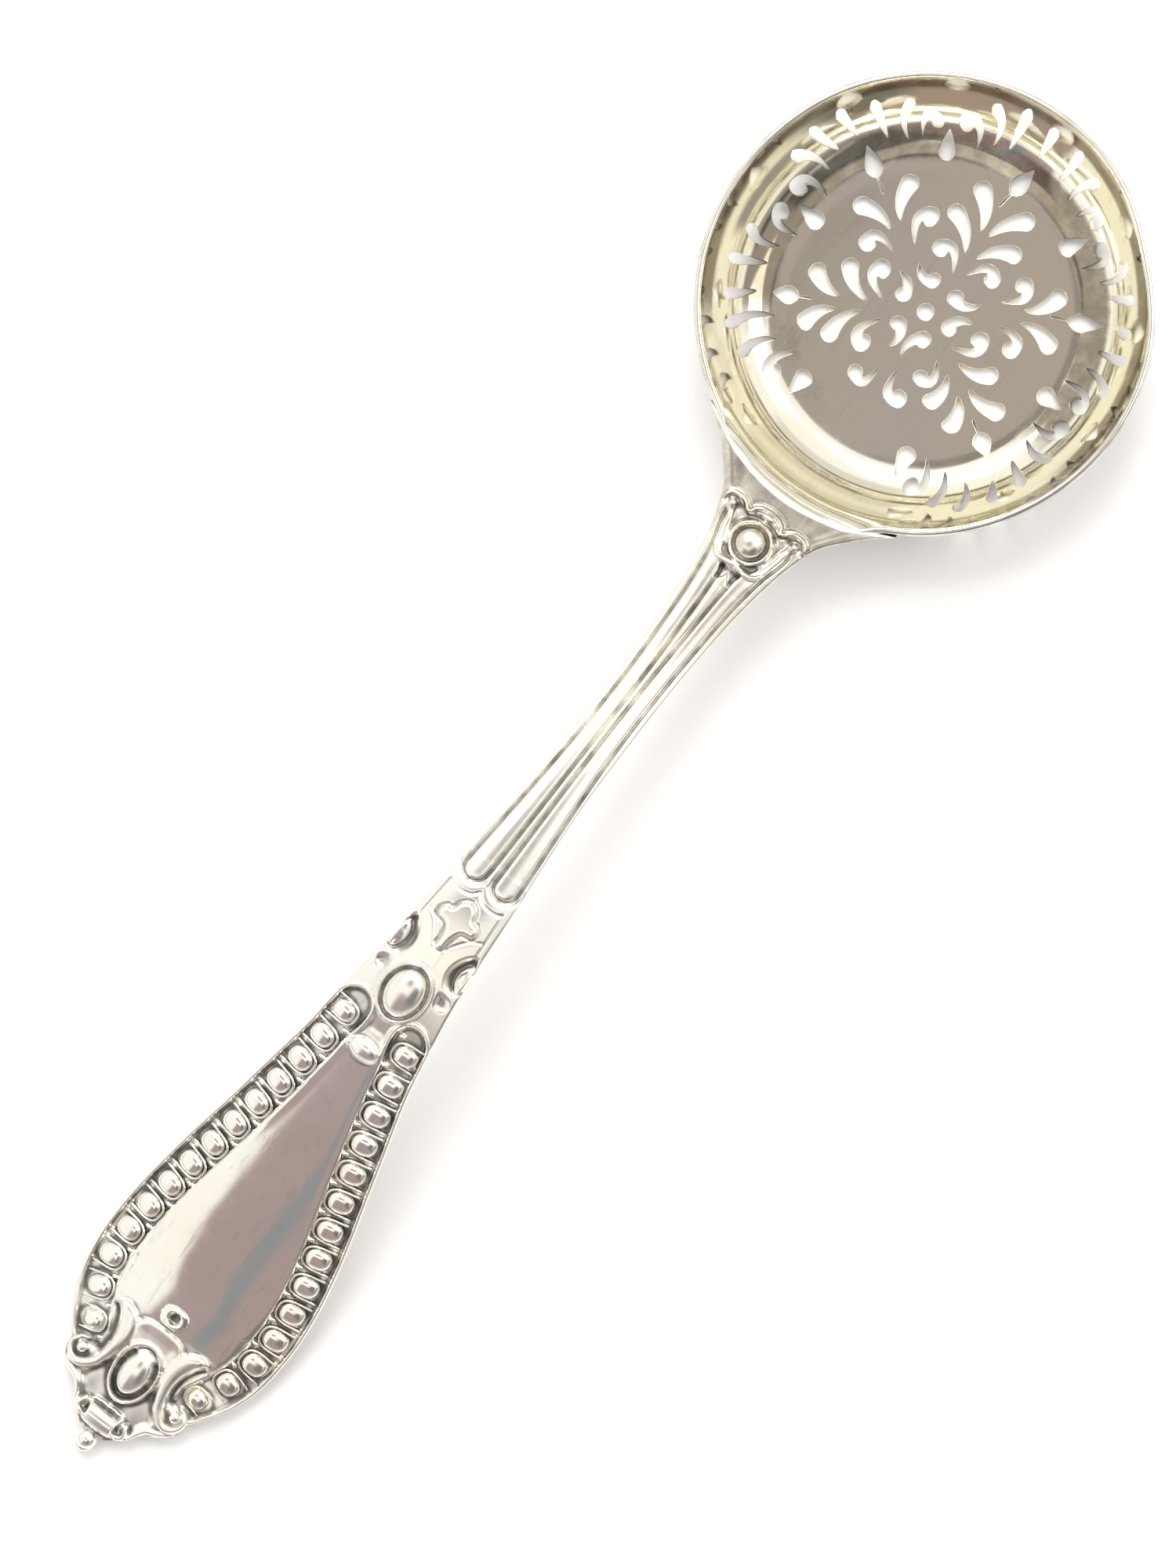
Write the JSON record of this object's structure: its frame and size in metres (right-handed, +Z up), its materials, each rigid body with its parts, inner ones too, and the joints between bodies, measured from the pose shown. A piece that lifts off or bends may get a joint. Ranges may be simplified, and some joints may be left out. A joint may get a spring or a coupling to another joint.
{
  "type": "sifter spoon",
  "caption": "Silver sifter spoon: round gilt bowl with a pierced flower and fins, reeded arched stem, oval panel handle in an egg-and-arch border with a scrolled crest",
  "frame": {"origin": "centre of the spoon's bounding box in plan, on the table that the bowl's floor and the handle's end stand on", "axes": "+Y from the handle's end towards the bowl, +X to the bowl's right seen from above with the handle nearest, +Z up out of the open bowl"},
  "size_m": [0.048, 0.1765, 0.0173],
  "materials": {
    "gilt": "parcel-gilt silver, polished and lightly worn",
    "silver": "old polished silver with tarnish in the hollows",
    "solder": "hard silver solder, filed and polished"
  },
  "bodies": {
    "root": {"pierced_bowl": "gilt", "handle": "silver", "solder_seam": "solder"}
  },
  "joints": []
}
